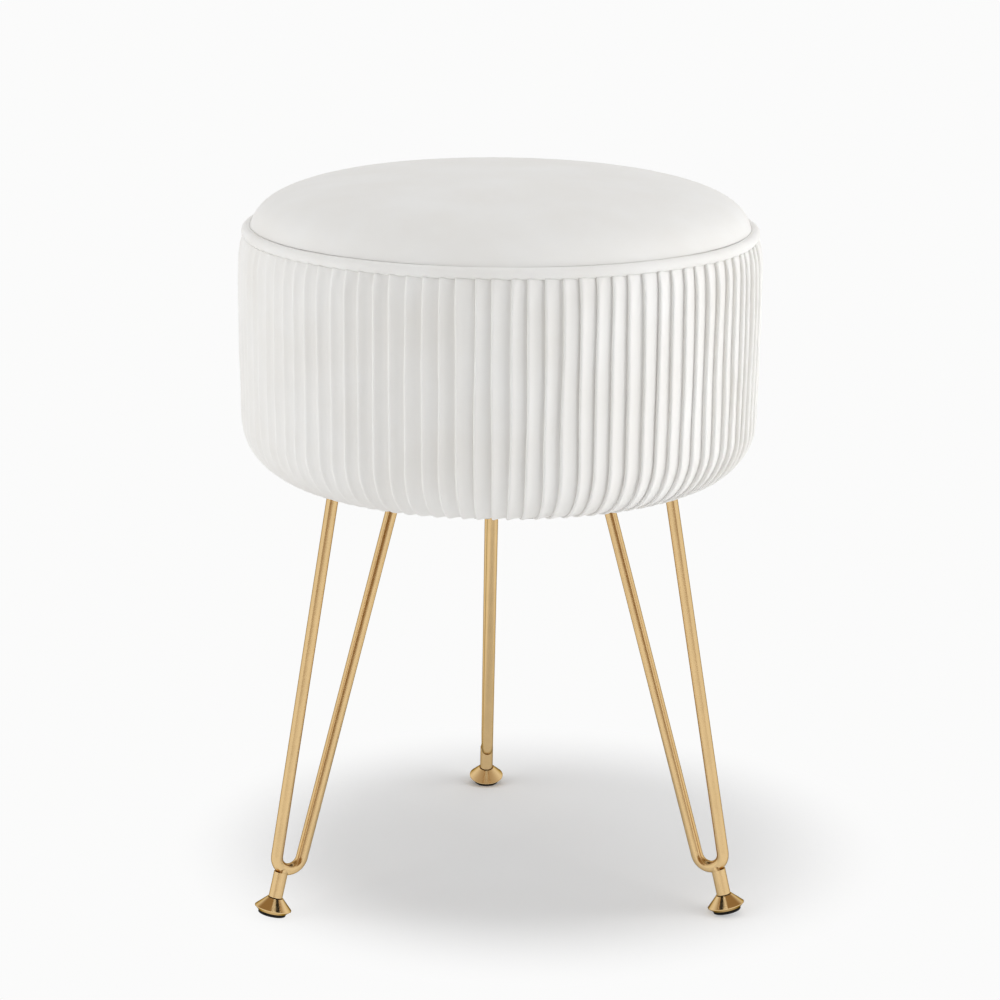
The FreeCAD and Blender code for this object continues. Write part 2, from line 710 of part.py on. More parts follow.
def is_upright(edge):
    along = end_point(edge) - start_point(edge)
    return abs(along.x) < TOUCH and abs(along.y) < TOUCH


def make_leg_screws(number, azimuth):
    """Four pan-head screws from under the plate up through the base board's tee nuts."""
    label = f"leg_screws_{number}"
    shank = cylinder(f"{label}_shank", "Sizes.leg_screw_radius", "Worked.screw_length")
    head = cylinder(f"{label}_head", "Sizes.leg_screw_head_radius", "Sizes.leg_screw_head_height",
                    moved(z=-sizes.leg_screw_head_height))
    screw = fuse(f"{label}_one", [shank, head])
    keep(repeated(label, screw, screw_places(azimuth, worked.plate_height)), label)


def make_hairpin(number, azimuth):
    """One rod: two leaning runs cut level under the plate and the bend that joins them."""
    label = f"leg_hairpin_{number}"
    leg = turned(azimuth)
    centre = Vector(worked.bend_centre_radius, 0, sizes.bend_centre_height)
    bend_place = Placement(centre, Rotation(X_AXIS, 90)).multiply(turned(180 + sizes.inner_rod_lean))
    pieces = [add("Part::Torus", f"{label}_bend", leg.multiply(bend_place), Radius1="Sizes.bend_radius",
                  Radius2="Sizes.rod_radius", Angle3="Worked.bend_sweep")]
    for side, run, lean in ((1, "outer", sizes.outer_rod_lean), (-1, "inner", sizes.inner_rod_lean)):
        tilt = Rotation(Y_AXIS, -lean)
        foot = centre + tilt.multVec(Vector(side * sizes.bend_radius, 0, 0))
        length = f"Worked.{run}_run + 2 * Sizes.rod_radius"
        pieces.append(cylinder(f"{label}_{run}", "Sizes.rod_radius", length, leg.multiply(Placement(foot, tilt))))
    trim_corner = moved(y=-sizes.drum_radius / 2, z=worked.plate_height)
    trim = box(f"{label}_trim", "Sizes.drum_radius", "Sizes.drum_radius", "4 * Sizes.rod_radius",
               leg.multiply(trim_corner))
    rod = cut(label, fuse(f"{label}_whole", pieces), trim)
    keep(rod, label)
    return rod


def foot_frame(azimuth):
    """The stem's own frame: origin in the pad's lower face, Z up along the stem."""
    place = Placement(Vector(worked.foot_radius, 0, worked.foot_height), Rotation(Y_AXIS, -sizes.stem_lean))
    return turned(azimuth).multiply(place)


def make_stem(number, frame, rod):
    """Round bush with a blind thread bore, coped and welded under the bend."""
    label = f"leg_stem_{number}"
    base = frame.multiply(moved(z=worked.stem_foot))
    outside = cylinder(f"{label}_outside", "Sizes.stem_radius", "Worked.stem_length", base)
    bore = cylinder(f"{label}_bore", "Worked.bore_radius", "Worked.bore_length", base)
    keep(cut(label, outside, fuse(f"{label}_hollow", [bore, rod])), label)


def make_stud(number, frame):
    stud = revolved_body(f"foot_stud_{number}", [
        ("0", "Worked.stud_root"),
        ("Sizes.stud_radius", "Worked.stud_root"),
        ("Sizes.stud_radius", "Worked.stud_end - Sizes.stud_chamfer"),
        ("Sizes.stud_radius - Sizes.stud_chamfer", "Worked.stud_end"),
        ("0", "Worked.stud_end"),
    ], frame)
    keep(stud, f"foot_stud_{number}")


def make_cone(number, frame):
    """Turned foot: a recess for the pad, a bevel up to the rim, and a cone with the stud's bore."""
    cone = revolved_body(f"foot_cone_{number}", [
        ("0", "Sizes.pad_thickness"),
        ("Sizes.pad_radius", "Sizes.pad_thickness"),
        ("Sizes.pad_radius", "Worked.cone_base"),
        ("Worked.bevel_radius", "Worked.cone_base"),
        ("Worked.rim_radius", "Worked.rim_height"),
        ("Worked.rim_radius", "Worked.rim_height + Sizes.rim_land"),
        ("Sizes.cone_top_radius", "Worked.cone_top"),
        ("Worked.bore_radius", "Worked.cone_top"),
        ("Worked.bore_radius", "Worked.cone_bore_floor"),
        ("0", "Worked.cone_bore_floor"),
    ], frame)
    keep(cone, f"foot_cone_{number}")


def make_pad(number, azimuth, frame):
    """Rubber disc with a rounded lower edge, flattened where the floor meets it."""
    label = f"foot_pad_{number}"
    disc = cylinder(f"{label}_disc", "Sizes.pad_radius", "Sizes.pad_thickness", frame)
    doc.recompute()
    rounded = doc.addObject("Part::Fillet", f"{label}_rounded")
    rounded.Base = disc
    heights = [edge.CenterOfMass.z for edge in disc.Shape.Edges]
    rounded.Edges = [(heights.index(min(heights)) + 1, sizes.pad_round, sizes.pad_round)]
    reach = 4 * sizes.pad_radius
    corner = moved(worked.foot_radius - reach / 2, -reach / 2, -reach)
    floor = box(f"{label}_floor", "4 * Sizes.pad_radius", "4 * Sizes.pad_radius", "4 * Sizes.pad_radius",
                turned(azimuth).multiply(corner))
    keep(cut(label, rounded, floor), label)


def check_and_write():
    """Stops on any failed feature or unsound shape, then writes one file for each sub-part."""
    doc.recompute()
    for feature in doc.Objects:
        faults = [state for state in feature.State if state in ("Invalid", "Error")]
        if faults:
            raise RuntimeError(f"{feature.Name} is {faults}")
    for part in sub_parts:
        if part.Shape.isNull() or not part.Shape.isValid() or not part.Shape.Solids:
            raise RuntimeError(f"{part.Label} has no sound shape")
    os.makedirs("parts", exist_ok=True)
    for part in sub_parts:
        part.Shape.exportStep(os.path.join("parts", f"{part.Label}.step"))
        print(part.Label, len(part.Shape.Solids), "solids", round(part.Shape.Volume, 1), "mm3")


make_board("base_board", worked.board_base_height, True)
make_board("top_board", worked.upright_top_height, False)
make_core_wall()
make_uprights()
make_side_foam()
make_top_foam()
make_top_cover()
make_piping()
make_pleated_side_cover()
make_dust_cover()
make_staples()
make_tee_nuts()
for leg_number, leg_azimuth in enumerate(leg_azimuths(), start=1):
    make_leg_plate(leg_number, leg_azimuth)
    make_leg_screws(leg_number, leg_azimuth)
    leg_rod = make_hairpin(leg_number, leg_azimuth)
    leg_frame = foot_frame(leg_azimuth)
    make_stem(leg_number, leg_frame, leg_rod)
    make_stud(leg_number, leg_frame)
    make_cone(leg_number, leg_frame)
    make_pad(leg_number, leg_azimuth, leg_frame)
check_and_write()
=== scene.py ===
import json
import math

import bpy
import numpy as np
from mathutils import Matrix, Vector


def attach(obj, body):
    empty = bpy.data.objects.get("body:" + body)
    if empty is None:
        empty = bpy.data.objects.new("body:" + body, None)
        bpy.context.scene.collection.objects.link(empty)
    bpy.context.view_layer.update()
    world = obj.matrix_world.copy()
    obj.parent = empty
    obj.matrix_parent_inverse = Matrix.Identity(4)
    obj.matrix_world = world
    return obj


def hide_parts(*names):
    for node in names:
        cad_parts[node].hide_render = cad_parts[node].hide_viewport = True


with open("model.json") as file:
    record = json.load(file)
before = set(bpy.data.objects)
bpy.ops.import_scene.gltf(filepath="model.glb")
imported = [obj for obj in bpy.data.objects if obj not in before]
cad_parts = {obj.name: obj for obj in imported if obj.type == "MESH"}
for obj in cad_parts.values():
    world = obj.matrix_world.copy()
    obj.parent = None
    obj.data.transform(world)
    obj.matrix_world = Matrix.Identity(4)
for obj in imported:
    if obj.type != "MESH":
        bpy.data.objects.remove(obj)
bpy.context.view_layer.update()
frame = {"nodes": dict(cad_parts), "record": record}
nodes = frame["nodes"]

MM = 0.001
ROOT = "seat_and_legs"
LEGS = {1: 90.0, 2: 210.0, 3: 330.0}
rng = np.random.default_rng(20)

# Sizes of the seat, in millimetres, degrees and shares
DRUM_RADIUS = 175.0
DRUM_BASE = 288.5
DRUM_TOP = 448.0
CORNER_RADIUS = 40.0
SIDE_FLARE = 1.0
WIDEST_DROP = 30.0
# The cover's edge stands this much higher than in the solid, so that no dark crevice shows under the cord
CORD_TUCK = 1.8
DRAW_GENTLE = 1.0
DRAW_EDGE = 2.2
DRAW_START = 0.45
LIP_RADIUS = 124.0
LIP_FLAT = 4.0
PLEATS = 99
PLEAT_DEPTH = 2.9
PLEAT_PHASE = 0.67
PINCH_REACH = 14.0
PINCH_SPREAD = 0.09
PINCH_FLATTEN = 0.25
UNDER_REACH = 24.0
UNDER_FLATTEN = 0.55
CORD_RING = 168.4
CORD_RADIUS = 4.1
CORD_HEIGHT = 452.3
CORD_LIFT = 0.1
SEAM_RADIUS = 164.1
# The crown's rim lies a little lower and further out than in the solid, to close the crevice above the cord
RIM_RADIUS = 166.6
RIM_HEIGHT = 456.1
CROWN_TOP = 491.2
CROWN_CLEARANCE = 0.3
EDGE_SHARE = 0.33
EDGE_LEAN = 23.5
FLAT_SHARE = 0.97

# Unevenness, as shares of a pleat's width or depth and of the cord's radius
PLEAT_JITTER = 0.05
PLEAT_LEAN = 0.05
PLEAT_WANDER = 0.05
DEPTH_SPREAD = (-0.16, 0.12)
CORD_TRIM = 0.025
CORD_UNEVEN = 0.02

# Unevenness, in millimetres
LEAN_REACH = 80.0
LIFT_SPREAD = (-0.25, 0.2)
FINE_RIPPLE = 0.18
BROAD_RIPPLE = 0.35
EDGE_PUCKER = 0.35
SEAM_PULL = 0.2
SEAM_FADE = 12.0
SEAM_REACH = 16.0
CROWN_SWELL = 0.4
SWELL_FADE = 60.0
CROWN_SETTLE = 0.3
CORD_WANDER = 0.25

# Sizes of the legs, screws, studs and dust cover, in millimetres and degrees
ROD_RADIUS = 4.0
BEND_RADIUS = 9.7
STEM_LEAN = 14.5
STEM_RADIUS = 4.7
STEM_OFFSET = 3.9
STEM_TOP = 29.72
BEND_REACH = 41.417
PLATE_HEIGHT = 285.7
PLATE_CENTRE = 104.1
ROD_TOPS = {"outer": (128.81, 10.3), "inner": (79.39, 16.8)}
SCREW_OFFSET = 9.0
SCREW_RADIUS = 2.5
SCREW_HEAD_RADIUS = 4.6
SCREW_HEAD_HEIGHT = 3.0
SCREW_LENGTH = 24.57
STUD_RADIUS = 3.0
STUD_ROOT = 5.2
STUD_END = 26.12
THREAD_PITCH = 1.0
THREAD_DEPTH = 0.55
THREAD_FADE = 0.9
DUST_RADIUS = 131.0
DUST_HEIGHT = 287.7
DUST_THICKNESS = 0.3
DUST_CLEARANCE = 0.03
DUST_RIPPLE = 0.12
DUST_PUCKER = 0.1
PUCKER_REACH = 16.0
STAPLES = 24


# Meshes


def mesh_object(name, points, faces):
    """A mesh piece from points in millimetres."""
    mesh = bpy.data.meshes.new(name)
    mesh.from_pydata((np.asarray(points) * MM).tolist(), [], faces)
    mesh.validate()
    mesh.update()
    mesh.shade_smooth()
    piece = bpy.data.objects.new(name, mesh)
    bpy.context.scene.collection.objects.link(piece)
    return piece


def sheet_faces(rows, columns, wrap_rows=False):
    """Quads of a grid of points whose columns close on themselves, and its rows too where asked."""
    row_count = rows if wrap_rows else rows - 1
    faces = []
    for row in range(row_count):
        below = row * columns
        above = (row + 1) % rows * columns
        for column in range(columns):
            beside = (column + 1) % columns
            faces.append((below + column, below + beside, above + beside, above + column))
    return faces


def closed_faces(rows, columns):
    """Faces of rings one above the other, closed by two poles that follow them: the lower, then the upper."""
    faces = sheet_faces(rows, columns)
    pole = rows * columns
    last = pole - columns
    for column in range(columns):
        beside = (column + 1) % columns
        faces.append((pole, beside, column))
        faces.append((pole + 1, last + column, last + beside))
    return faces


def turned_mesh(name, profile, steps):
    """Closed solid of revolution; its profile of (radius, height) runs from the axis below to that above."""
    angles = np.linspace(0, math.tau, steps, endpoint=False)
    inner = profile[1:-1]
    points = [(r * math.cos(a), r * math.sin(a), z) for r, z in inner for a in angles]
    points += [(0, 0, profile[0][1]), (0, 0, profile[-1][1])]
    return mesh_object(name, points, closed_faces(len(inner), steps))


def waves(angle, height, count, around, up, seed):
    """Smooth random field from -1 to 1: sine waves of about these lengths around the drum and up it."""
    source = np.random.default_rng(seed)
    total = 0.0
    for _ in range(count):
        turns = max(1, round(math.tau * DRUM_RADIUS / around * source.uniform(0.5, 1.5)))
        climb = math.tau / up * source.uniform(-1.0, 1.0)
        total = total + np.sin(turns * angle + climb * height + source.uniform(0, math.tau))
    return total / count


# The pleated side cover


def side_profile():
    """The drum's outline from the mouth below to the edge under the cord: points and outward normals."""
    corner_centre = DRUM_RADIUS - SIDE_FLARE - CORNER_RADIUS
    corner_height = DRUM_BASE + CORNER_RADIUS
    widest = DRUM_TOP - WIDEST_DROP
    points = [(LIP_RADIUS, DRUM_BASE), (LIP_RADIUS + LIP_FLAT, DRUM_BASE)]
    for angle in np.radians(np.linspace(0, 90, 24)):
        radius = corner_centre + CORNER_RADIUS * math.sin(angle)
        points.append((radius, corner_height - CORNER_RADIUS * math.cos(angle)))
    for height in np.linspace(corner_height, widest, 16)[1:]:
        share = (height - corner_height) / (widest - corner_height)
        points.append((DRUM_RADIUS - SIDE_FLARE * (1 - share) ** 2, height))
    for share in (0.15, 0.3, 0.43, 0.53, 0.61, 0.68, 0.74, 0.8, 0.85, 0.9, 0.94, 0.97, 1.0):
        edge = max(0.0, (share - DRAW_START) / (1 - DRAW_START))
        draw = DRAW_GENTLE * share ** 2 + DRAW_EDGE * edge ** 2.4
        points.append((DRUM_RADIUS - draw, widest + share * (WIDEST_DROP + CORD_TUCK)))
    points = np.array(points)
    run = np.gradient(points, axis=0)
    run /= np.linalg.norm(run, axis=1)[:, None]
    return points, np.stack([run[:, 1], -run[:, 0]], axis=1)


# One pleat from crease to crease, as (share of its width, share of its depth):
# an overhanging round fold, then a hollow slope
PLEAT_SECTION = np.array([
    (0.000, 1.00), (-0.020, 0.80), (-0.034, 0.58), (-0.036, 0.38), (-0.024, 0.20), (0.006, 0.07),
    (0.055, 0.00), (0.110, 0.03), (0.170, 0.12), (0.240, 0.26), (0.320, 0.41), (0.410, 0.55),
    (0.510, 0.67), (0.620, 0.77), (0.740, 0.86), (0.860, 0.93), (0.965, 0.985),
])


# The cover's inner side from its edge to its mouth, as (radius, height)
LINING = [
    (DRUM_RADIUS - 9.5, DRUM_TOP), (DRUM_RADIUS - 9.5, DRUM_TOP - 20),
    (DRUM_RADIUS - 7.5, DRUM_BASE + 44), (DRUM_RADIUS - 16, DRUM_BASE + 18),
    (DRUM_RADIUS - 34, DRUM_BASE + 5.5), (LIP_RADIUS, DRUM_BASE + 3.6),
]


def make_pleated_cover():
    """The pleated skirt with its lining, each pleat a little unlike the next."""
    profile, normals = side_profile()
    rows = len(profile)
    heights = profile[:, 1]
    pitch = math.tau / PLEATS
    along = np.concatenate([[0], np.cumsum(np.linalg.norm(np.diff(profile, axis=0), axis=1))])
    creases = np.arange(PLEATS)
    jitter = rng.uniform(-PLEAT_JITTER, PLEAT_JITTER, PLEATS)
    lean = rng.uniform(-PLEAT_LEAN, PLEAT_LEAN, PLEATS)
    middle = (DRUM_BASE + DRUM_TOP) / 2
    crease_angle = np.empty((rows, PLEATS))
    for row in range(rows):
        drift = lean * (heights[row] - middle) / LEAN_REACH
        run = np.full(PLEATS, along[row])
        wander = PLEAT_WANDER * waves(creases * pitch, run, count=6, around=60.0, up=70.0, seed=3)
        crease_angle[row] = math.radians(PLEAT_PHASE) + pitch * (creases + jitter + drift + wander)
    depth_of = PLEAT_DEPTH * (1 + rng.uniform(*DEPTH_SPREAD, PLEATS))
    lift_of = rng.uniform(*LIFT_SPREAD, PLEATS)
    pinch = np.clip((heights - (DRUM_TOP - PINCH_REACH)) / PINCH_REACH, 0, 1) ** 1.5
    under = np.clip((DRUM_BASE + UNDER_REACH - heights) / UNDER_REACH, 0, 1)
    points = []
    for row in range(rows):
        width = np.roll(crease_angle[row], -1) - crease_angle[row]
        width[-1] += math.tau
        share = PLEAT_SECTION[:, 0][None, :]
        sunk = PLEAT_SECTION[:, 1][None, :]
        broad = PINCH_SPREAD * pinch[row]
        share = share + broad * np.sin(math.pi * np.clip(share, 0, 1))
        depth = depth_of[:, None] * (1 - PINCH_FLATTEN * pinch[row] - UNDER_FLATTEN * under[row])
        angle = crease_angle[row][:, None] + width[:, None] * share
        fine = FINE_RIPPLE * waves(angle, along[row], count=5, around=26.0, up=30.0, seed=11)
        ripple = fine + BROAD_RIPPLE * waves(angle, along[row], count=4, around=120.0, up=90.0, seed=12)
        small = waves(angle, along[row], count=5, around=9.0, up=12.0, seed=13)
        pucker = EDGE_PUCKER * pinch[row] * small
        offset = -sunk * depth + (lift_of[:, None] + ripple) * (1 - under[row]) + pucker
        radius = profile[row, 0] + offset * normals[row, 0]
        height = profile[row, 1] + offset * normals[row, 1]
        ring = np.stack([radius * np.cos(angle), radius * np.sin(angle), height], axis=-1)
        points.append(ring.reshape(-1, 3))
    columns = points[0].shape[0]
    angle = np.arctan2(points[-1][:, 1], points[-1][:, 0])
    for radius, height in LINING:
        level = np.full(columns, height)
        points.append(np.stack([radius * np.cos(angle), radius * np.sin(angle), level], axis=-1))
    faces = sheet_faces(len(points), columns, wrap_rows=True)
    piece = mesh_object("pleated_skirt", np.concatenate(points), faces)
    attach(piece, ROOT)
    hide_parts("pleated_side_cover", "side_foam")
    return piece


# The crown and the cord


def dome_profile(count):
    """The crown from its rim to its top, as (radius, height)."""
    climb = EDGE_SHARE * (CROWN_TOP - RIM_HEIGHT)
    poles = np.array([
        (RIM_RADIUS, RIM_HEIGHT),
        (RIM_RADIUS - climb * math.tan(math.radians(EDGE_LEAN)), RIM_HEIGHT + climb),
        (FLAT_SHARE * RIM_RADIUS, CROWN_TOP),
        (0, CROWN_TOP),
    ])
    run = np.linspace(0, 1, count)[:, None]
    rising = (1 - run) ** 3 * poles[0] + 3 * (1 - run) ** 2 * run * poles[1]
    return rising + 3 * (1 - run) * run ** 2 * poles[2] + run ** 3 * poles[3]


def make_crown():
    """Domed cushion top: flat below, swelling over the cord at its seam, full over the foam."""
    low = DRUM_TOP + CROWN_CLEARANCE
    profile = [(0, low)]
    profile += [(radius, low) for radius in (40, 80, 120, 150, 160)]
    profile += [
        (SEAM_RADIUS - 1.0, low + 0.2), (SEAM_RADIUS - 0.3, low + 0.9), (SEAM_RADIUS, low + 2.2),
        (SEAM_RADIUS, CORD_HEIGHT), (SEAM_RADIUS, CORD_HEIGHT + 1.2),
        (SEAM_RADIUS + 0.5, CORD_HEIGHT + 2.2), (SEAM_RADIUS + 1.2, CORD_HEIGHT + 3.2),
        (SEAM_RADIUS + 1.8, CORD_HEIGHT + 4.1),
    ]
    profile += [tuple(point) for point in dome_profile(64)]
    piece = turned_mesh("crown_cushion", profile, 360)
    mesh = piece.data
    count = len(mesh.vertices)
    flat = np.empty(count * 3)
    mesh.vertices.foreach_get("co", flat)
    points = flat.reshape(-1, 3) / MM
    radius = np.hypot(points[:, 0], points[:, 1])
    angle = np.arctan2(points[:, 1], points[:, 0])
    above = np.clip((points[:, 2] - CORD_HEIGHT) / SEAM_FADE, 0, 1)
    near_seam = above * np.clip(1 - (points[:, 2] - RIM_HEIGHT) / SEAM_REACH, 0, 1)
    puckers = waves(angle, points[:, 2], count=7, around=15.0, up=60.0, seed=21)
    hollows = waves(angle, radius, count=4, around=350.0, up=150.0, seed=22)
    pull = SEAM_PULL * near_seam * puckers
    swell = CROWN_SWELL * above * np.clip(radius / SWELL_FADE, 0, 1) * hollows
    points[:, 0] += pull * np.cos(angle)
    points[:, 1] += pull * np.sin(angle)
    points[:, 2] += swell - CROWN_SETTLE * above
    mesh.vertices.foreach_set("co", (points * MM).ravel())
    mesh.update()
    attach(piece, ROOT)
    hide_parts("top_cover", "top_foam")
    return piece


def make_cord():
    """Piping: a round velvet-wrapped cord with a slight unevenness."""
    steps, sides = 540, 20
    around = np.linspace(0, math.tau, steps, endpoint=False)
    section = np.linspace(0, math.tau, sides, endpoint=False)
    points = []
    for angle in around:
        lumps = waves(angle, 0.0, count=6, around=18.0, up=50.0, seed=31)
        thick = CORD_RADIUS * (1 - CORD_TRIM + CORD_UNEVEN * lumps)
        rise = CORD_WANDER * waves(angle, 0.0, count=4, around=160.0, up=50.0, seed=32)
        out = CORD_WANDER * waves(angle, 0.0, count=4, around=130.0, up=50.0, seed=33)
        radius = CORD_RING + out + thick * np.cos(section)
        height = CORD_HEIGHT + CORD_LIFT + rise + thick * np.sin(section)
        points.append(np.stack([radius * math.cos(angle), radius * math.sin(angle), height], axis=-1))
    faces = [tuple(reversed(face)) for face in sheet_faces(steps, sides, wrap_rows=True)]
    piece = mesh_object("piping_cord", np.concatenate(points), faces)
    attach(piece, ROOT)
    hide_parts("piping")
    return piece


# Welds, in millimetres and degrees

WELD_SPREAD = 128.0
WELD_REACH = 3.4
WELD_DROP = 1.2
WELD_START = 0.3
WELD_CORE = 2.2
KNEE_DROP = 0.9
KNEE_RISE = 0.5
KNEE_FULL = 0.12
STEM_SINK = 0.15
ROD_SINK = 0.12
BEAD_RADIUS = 1.15
BEAD_SPREAD = (0.85, 1.12)
BEAD_SINK = 0.1
BEAD_TOP = 0.3


def leg_place(azimuth):
    return Matrix.Rotation(math.radians(azimuth), 4, "Z")


def foot_pivot(number):
    """Where the foot's turning axis meets the pad's lower face, in millimetres, from the record."""
    joints = frame["record"]["behaviour"]["joints"]
    turn = next(joint for joint in joints if joint["name"] == f"foot_{number}_turn")
    return Vector(turn["pos_m"]) / MM


def stem_place(number):
    """The stem's own frame, in millimetres: origin in the pad's lower face, X outwards, Z along the stem."""
    lean = Matrix.Rotation(math.radians(-STEM_LEAN), 4, "Y")
    return Matrix.Translation(foot_pivot(number)) @ leg_place(LEGS[number]) @ lean


def placed(place, points):
    return [tuple(place @ Vector(point)) for point in points]


def onto_bend(point, reach_out):
    """Nearest point round the bend's centre line at that distance from it, in the stem's frame."""
    across, along = point[0] + STEM_OFFSET, point[2] - BEND_REACH
    reach = math.hypot(across, along)
    out = across / reach * BEND_RADIUS - STEM_OFFSET
    middle = np.array([out, 0, along / reach * BEND_RADIUS + BEND_REACH])
    away = point - middle
    return middle + away / np.linalg.norm(away) * reach_out


def make_stem_weld(number):
    """Smooth weld between stem and bend, all round but for a crevice on the outer side."""
    spread = np.radians(np.linspace(-WELD_SPREAD, WELD_SPREAD, 41))
    curve = 8
    rows = []
    for turn in spread:
        fade = math.sqrt(max(0.0, 1 - (turn / spread[-1]) ** 4))
        out = np.array([-math.cos(turn), math.sin(turn), 0])
        up = np.array([0, 0, 1])
        low = out * (STEM_RADIUS - STEM_SINK) + up * (STEM_TOP - WELD_DROP - WELD_REACH * fade)
        knee = out * (STEM_RADIUS + KNEE_FULL) + up * (STEM_TOP - KNEE_DROP + KNEE_RISE * fade)
        above = out * STEM_RADIUS + up * (STEM_TOP + WELD_START + WELD_REACH * fade)
        high = onto_bend(above, ROD_RADIUS - ROD_SINK)
        core = out * (STEM_RADIUS - WELD_CORE) + up * (STEM_TOP - WELD_DROP)
        row = []
        for share in np.linspace(0, 1, curve):
            row.append((1 - share) ** 2 * low + 2 * share * (1 - share) * knee + share ** 2 * high)
        row.append(core)
        rows.append(row)
    points = placed(stem_place(number), [point for row in rows for point in row])
    faces = sheet_faces(len(rows), curve + 1)
    faces.append(tuple(range(curve + 1)))
    faces.append(tuple(reversed(range(len(points) - curve - 1, len(points)))))
    piece = mesh_object(f"stem_weld_{number}", points, faces)
    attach(piece, ROOT)
    return piece


def make_plate_weld(number, side):
    """Small uneven bead round a rod where it meets its plate."""
    radius, lean = ROD_TOPS[side]
    slant = math.radians(lean)
    steps, sides = 72, 10
    source = np.random.default_rng(100 + number)
    lumps = source.uniform(*BEAD_SPREAD, steps)
    lumps = (np.roll(lumps, 1) + lumps + np.roll(lumps, -1)) / 3
    points = []
    for step, turn in enumerate(np.linspace(0, math.tau, steps, endpoint=False)):
        bead = BEAD_RADIUS * lumps[step]
        for corner in np.linspace(0, math.tau, sides, endpoint=False):
            out = ROD_RADIUS + BEAD_SINK + bead * math.cos(corner)
            drop = bead * math.sin(corner)
            along = out * math.cos(turn) / math.cos(slant) - drop * math.tan(slant)
            height = PLATE_HEIGHT - BEAD_SINK + min(drop, BEAD_TOP)
            points.append((radius + along, out * math.sin(turn), height))
    faces = [tuple(reversed(face)) for face in sheet_faces(steps, sides, wrap_rows=True)]
    piece = mesh_object(f"plate_weld_{side}_{number}", placed(leg_place(LEGS[number]), points), faces)
    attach(piece, ROOT)
    return piece


# Screws, studs and dust cover

RECESS_WING = 0.55
RECESS_REACH = 2.4
RECESS_DEPTH = 1.5
WING_SLOPE = 0.2
END_SLOPE = 0.5
HEAD_DOME = 0.72
HEAD_ROUNDING = 1.28
HEAD_SHOULDER = 0.8
HEAD_DROP = 1.92
TIP_BEVEL = 0.8


def head_sink(x, y):
    """Depth of the cross recess in a screw's head."""
    sinks = []
    for beside, along in ((abs(x), abs(y)), (abs(y), abs(x))):
        sinks.append(min((RECESS_WING - beside) / WING_SLOPE, (RECESS_REACH - along) / END_SLOPE, 1.0))
    return RECESS_DEPTH * max(0.0, *sinks)


def head_drop(radius):
    """How far a screw's head falls away from its middle at that radius."""
    share = radius / SCREW_HEAD_RADIUS
    rounding = max(0.0, share - HEAD_SHOULDER) / (1 - HEAD_SHOULDER)
    return min(HEAD_DOME * share ** 2 + HEAD_ROUNDING * rounding ** 2, HEAD_DROP)


def make_leg_screws(number):
    """Four pan-head screws with cross recesses, from under the plate, each stopped at another angle."""
    steps = 72
    angles = np.linspace(0, math.tau, steps, endpoint=False)
    radii = np.concatenate([np.linspace(0.25, 3.0, 14), [3.5, 4.0, 4.35, 4.55, SCREW_HEAD_RADIUS]])
    shank = [
        (SCREW_HEAD_RADIUS, 0.0), (SCREW_RADIUS, 0.0), (SCREW_RADIUS, SCREW_LENGTH - TIP_BEVEL),
        (SCREW_RADIUS - TIP_BEVEL, SCREW_LENGTH),
    ]
    ring_count = len(radii) + len(shank)
    points, faces = [], []
    for corner in ((-1, -1), (1, -1), (1, 1), (-1, 1)):
        first = len(points)
        for radius in radii:
            for angle in angles:
                x, y = radius * math.cos(angle), radius * math.sin(angle)
                points.append((x, y, head_drop(radius) - SCREW_HEAD_HEIGHT + head_sink(x, y)))
        for radius, height in shank:
            points += [(radius * math.cos(angle), radius * math.sin(angle), height) for angle in angles]
        points += [(0, 0, RECESS_DEPTH - SCREW_HEAD_HEIGHT), (0, 0, SCREW_LENGTH)]
        faces += [tuple(first + index for index in face) for face in closed_faces(ring_count, steps)]
        across, out = corner[0] * SCREW_OFFSET, PLATE_CENTRE + corner[1] * SCREW_OFFSET
        spot = Matrix.Translation((out, across, PLATE_HEIGHT))
        twist = Matrix.Rotation(0.7 * number + corner[0] + 0.4 * corner[1], 4, "Z")
        points[first:] = placed(leg_place(LEGS[number]) @ spot @ twist, points[first:])
    piece = mesh_object(f"pan_head_screws_{number}", points, faces)
    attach(piece, ROOT)
    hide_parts(f"leg_screws_{number}")
    return piece


def make_stud(number):
    """Threaded stud: a right-hand helix of V-shaped turns."""
    steps, rows_per_turn = 36, 8
    rise = THREAD_PITCH / rows_per_turn
    count = int((STUD_END - STUD_ROOT) / rise)
    points = []
    for row in range(count + 1):
        height = STUD_ROOT + row * rise
        fade = min(1.0, (STUD_END - height) / THREAD_FADE)
        for step in range(steps):
            share = step / steps
            turn = math.tau * share
            phase = (height / THREAD_PITCH - share) % 1.0
            depth = THREAD_DEPTH * (1 - abs(2 * phase - 1))
            radius = min(STUD_RADIUS - depth, STUD_RADIUS - THREAD_DEPTH + THREAD_DEPTH * fade)
            points.append((radius * math.cos(turn), radius * math.sin(turn), height))
    points += [(0, 0, STUD_ROOT), (0, 0, STUD_ROOT + count * rise)]
    faces = closed_faces(count + 1, steps)
    piece = mesh_object(f"threaded_stud_{number}", placed(stem_place(number), points), faces)
    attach(piece, f"stud_{number}")
    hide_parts(f"foot_stud_{number}")
    return piece


